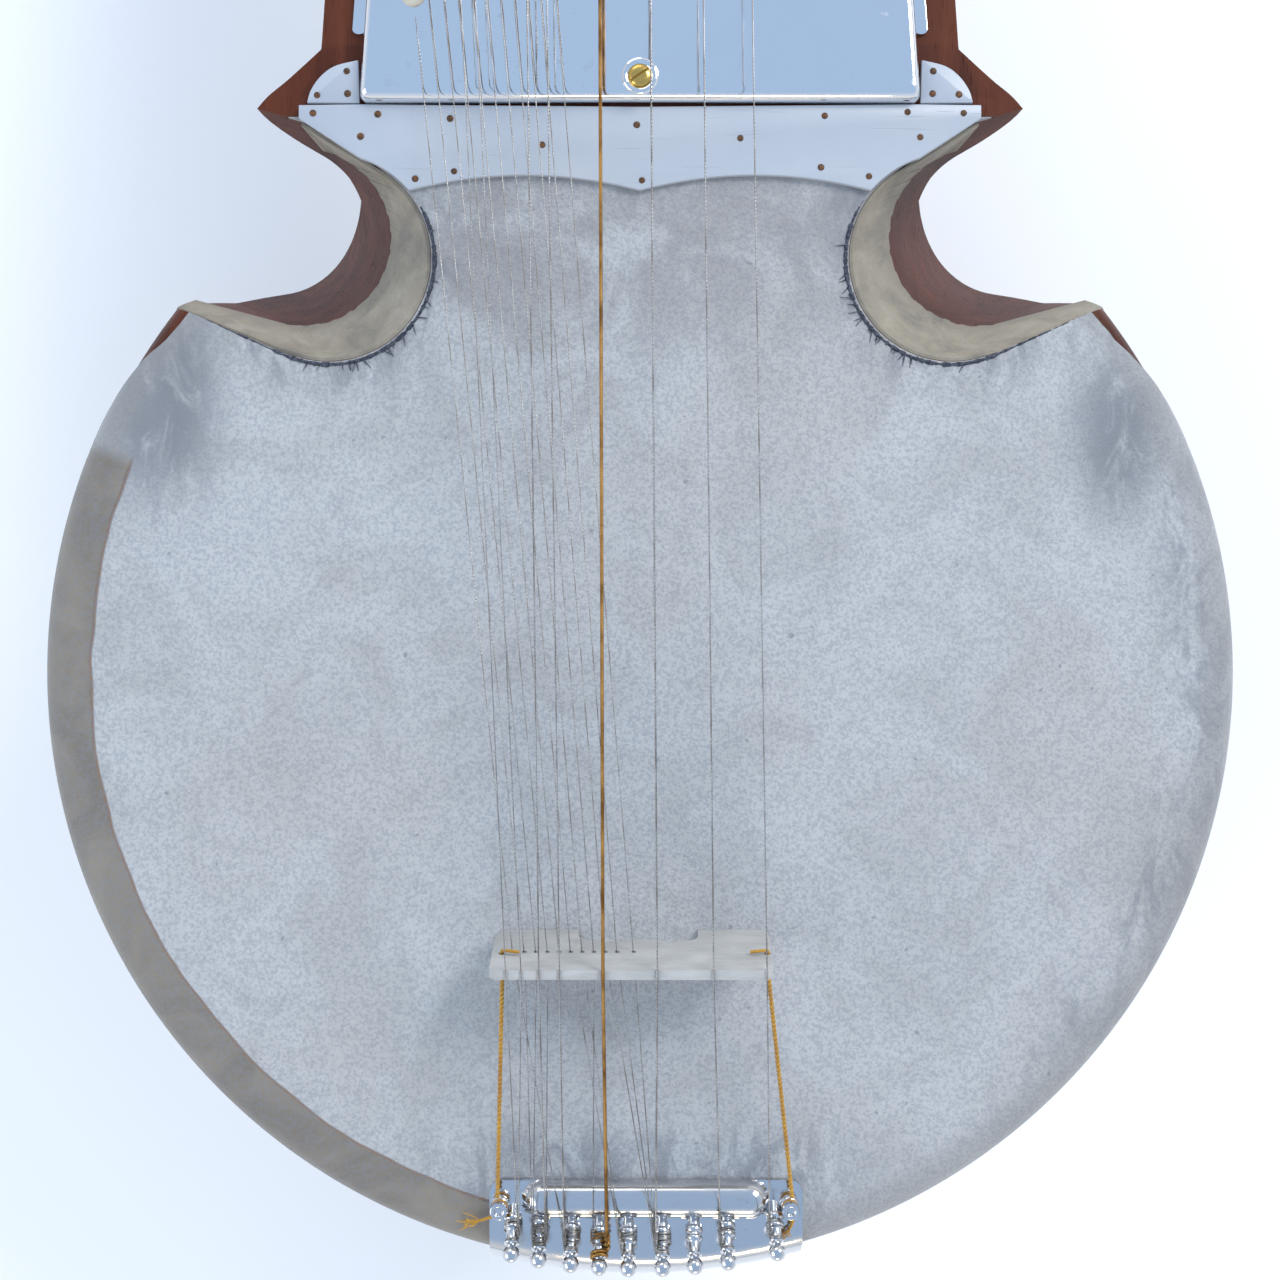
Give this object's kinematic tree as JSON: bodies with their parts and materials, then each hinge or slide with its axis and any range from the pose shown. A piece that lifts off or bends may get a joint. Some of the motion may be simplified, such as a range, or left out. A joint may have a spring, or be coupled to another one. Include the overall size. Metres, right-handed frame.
{
  "type": "sarod",
  "caption": "Fretless long lute with a skin belly, a waist with side cuts, a steel fingerboard, a bone bridge, a metal tailpiece and friction pegs that tune its strings.",
  "frame": {"origin": "Middle of the small flat on the back of the belly, on which the instrument is laid.", "axes": "+Z out of the face, +Y along the neck from the belly to the head, +X to the treble side."},
  "size_m": [0.305, 1.004, 0.216],
  "materials": {
    "wood": "polished dark red-brown",
    "peg_wood": "polished dark",
    "goatskin": "matt raw skin",
    "parchment": "matt tan skin",
    "white_sheet": "satin",
    "bone": "satin bone",
    "dark_pins": "dull",
    "polished_steel": "mirror polished",
    "chrome": "bright plated",
    "brass": "polished",
    "bronze_wire": "drawn",
    "steel_wire": "drawn",
    "yellow_cord": "twisted cotton"
  },
  "bodies": {
    "instrument": {"body": "wood", "skin": "goatskin", "waist_strip_left": "parchment", "waist_strip_right": "parchment", "apron": "white_sheet", "ear_left": "white_sheet", "ear_right": "white_sheet", "apron_pins": "dark_pins", "fingerboard_plate": "polished_steel", "plate_screws": "brass", "nut": "bone", "string_grommets": "bone", "chikari_posts": "brass", "bridge": "bone", "bridge_tie_left": "yellow_cord", "bridge_tie_right": "yellow_cord", "tailpiece": "chrome", "tailpiece_screws": "chrome", "tailpiece_posts": "chrome", "main_string_1": "bronze_wire", "main_string_2": "steel_wire", "main_string_3": "steel_wire", "main_string_4": "steel_wire", "jod_string_1": "steel_wire", "jod_string_2": "steel_wire", "chikari_string_1": "steel_wire", "chikari_string_2": "steel_wire", "sympathetic_strings": "steel_wire"},
    "main_peg_1": {"main_peg_1": "peg_wood"},
    "main_peg_2": {"main_peg_2": "peg_wood"},
    "main_peg_3": {"main_peg_3": "peg_wood"},
    "main_peg_4": {"main_peg_4": "peg_wood"},
    "jod_peg_1": {"jod_peg_1": "peg_wood"},
    "jod_peg_2": {"jod_peg_2": "peg_wood"},
    "sympathetic_peg_1": {"sympathetic_peg_1": "peg_wood"},
    "sympathetic_peg_2": {"sympathetic_peg_2": "peg_wood"},
    "sympathetic_peg_3": {"sympathetic_peg_3": "peg_wood"},
    "sympathetic_peg_4": {"sympathetic_peg_4": "peg_wood"},
    "sympathetic_peg_5": {"sympathetic_peg_5": "peg_wood"},
    "sympathetic_peg_6": {"sympathetic_peg_6": "peg_wood"},
    "sympathetic_peg_7": {"sympathetic_peg_7": "peg_wood"},
    "sympathetic_peg_8": {"sympathetic_peg_8": "peg_wood"},
    "sympathetic_peg_9": {"sympathetic_peg_9": "peg_wood"},
    "sympathetic_peg_10": {"sympathetic_peg_10": "peg_wood"},
    "sympathetic_peg_11": {"sympathetic_peg_11": "peg_wood"},
    "chikari_peg_1": {"chikari_peg_1": "peg_wood"},
    "chikari_peg_2": {"chikari_peg_2": "peg_wood"}
  },
  "joints": [
    {"name": "main_peg_1_turn", "type": "hinge", "parent": "instrument", "child": "main_peg_1", "pos_m": [-0.05, 0.704, 0.17], "axis": [1, 0, 0], "continuous": true},
    {"name": "main_peg_2_turn", "type": "hinge", "parent": "instrument", "child": "main_peg_2", "pos_m": [0.05, 0.734, 0.17], "axis": [1, 0, 0], "continuous": true},
    {"name": "main_peg_3_turn", "type": "hinge", "parent": "instrument", "child": "main_peg_3", "pos_m": [0.05, 0.674, 0.17], "axis": [1, 0, 0], "continuous": true},
    {"name": "main_peg_4_turn", "type": "hinge", "parent": "instrument", "child": "main_peg_4", "pos_m": [0.05, 0.614, 0.17], "axis": [1, 0, 0], "continuous": true},
    {"name": "jod_peg_1_turn", "type": "hinge", "parent": "instrument", "child": "jod_peg_1", "pos_m": [-0.05, 0.584, 0.17], "axis": [1, 0, 0], "continuous": true},
    {"name": "jod_peg_2_turn", "type": "hinge", "parent": "instrument", "child": "jod_peg_2", "pos_m": [-0.05, 0.644, 0.17], "axis": [1, 0, 0], "continuous": true},
    {"name": "sympathetic_peg_1_turn", "type": "hinge", "parent": "instrument", "child": "sympathetic_peg_1", "pos_m": [-0.06, 0.191, 0.166], "axis": [1, 0, 0], "continuous": true},
    {"name": "sympathetic_peg_2_turn", "type": "hinge", "parent": "instrument", "child": "sympathetic_peg_2", "pos_m": [-0.06, 0.213, 0.166], "axis": [1, 0, 0], "continuous": true},
    {"name": "sympathetic_peg_3_turn", "type": "hinge", "parent": "instrument", "child": "sympathetic_peg_3", "pos_m": [-0.06, 0.235, 0.166], "axis": [1, 0, 0], "continuous": true},
    {"name": "sympathetic_peg_4_turn", "type": "hinge", "parent": "instrument", "child": "sympathetic_peg_4", "pos_m": [-0.06, 0.257, 0.166], "axis": [1, 0, 0], "continuous": true},
    {"name": "sympathetic_peg_5_turn", "type": "hinge", "parent": "instrument", "child": "sympathetic_peg_5", "pos_m": [-0.06, 0.279, 0.166], "axis": [1, 0, 0], "continuous": true},
    {"name": "sympathetic_peg_6_turn", "type": "hinge", "parent": "instrument", "child": "sympathetic_peg_6", "pos_m": [-0.06, 0.301, 0.166], "axis": [1, 0, 0], "continuous": true},
    {"name": "sympathetic_peg_7_turn", "type": "hinge", "parent": "instrument", "child": "sympathetic_peg_7", "pos_m": [-0.06, 0.323, 0.166], "axis": [1, 0, 0], "continuous": true},
    {"name": "sympathetic_peg_8_turn", "type": "hinge", "parent": "instrument", "child": "sympathetic_peg_8", "pos_m": [-0.06, 0.345, 0.166], "axis": [1, 0, 0], "continuous": true},
    {"name": "sympathetic_peg_9_turn", "type": "hinge", "parent": "instrument", "child": "sympathetic_peg_9", "pos_m": [-0.06, 0.367, 0.166], "axis": [1, 0, 0], "continuous": true},
    {"name": "sympathetic_peg_10_turn", "type": "hinge", "parent": "instrument", "child": "sympathetic_peg_10", "pos_m": [-0.06, 0.389, 0.166], "axis": [1, 0, 0], "continuous": true},
    {"name": "sympathetic_peg_11_turn", "type": "hinge", "parent": "instrument", "child": "sympathetic_peg_11", "pos_m": [-0.06, 0.411, 0.166], "axis": [1, 0, 0], "continuous": true},
    {"name": "chikari_peg_1_turn", "type": "hinge", "parent": "instrument", "child": "chikari_peg_1", "pos_m": [-0.06, 0.433, 0.166], "axis": [1, 0, 0], "continuous": true},
    {"name": "chikari_peg_2_turn", "type": "hinge", "parent": "instrument", "child": "chikari_peg_2", "pos_m": [-0.06, 0.455, 0.166], "axis": [1, 0, 0], "continuous": true}
  ]
}
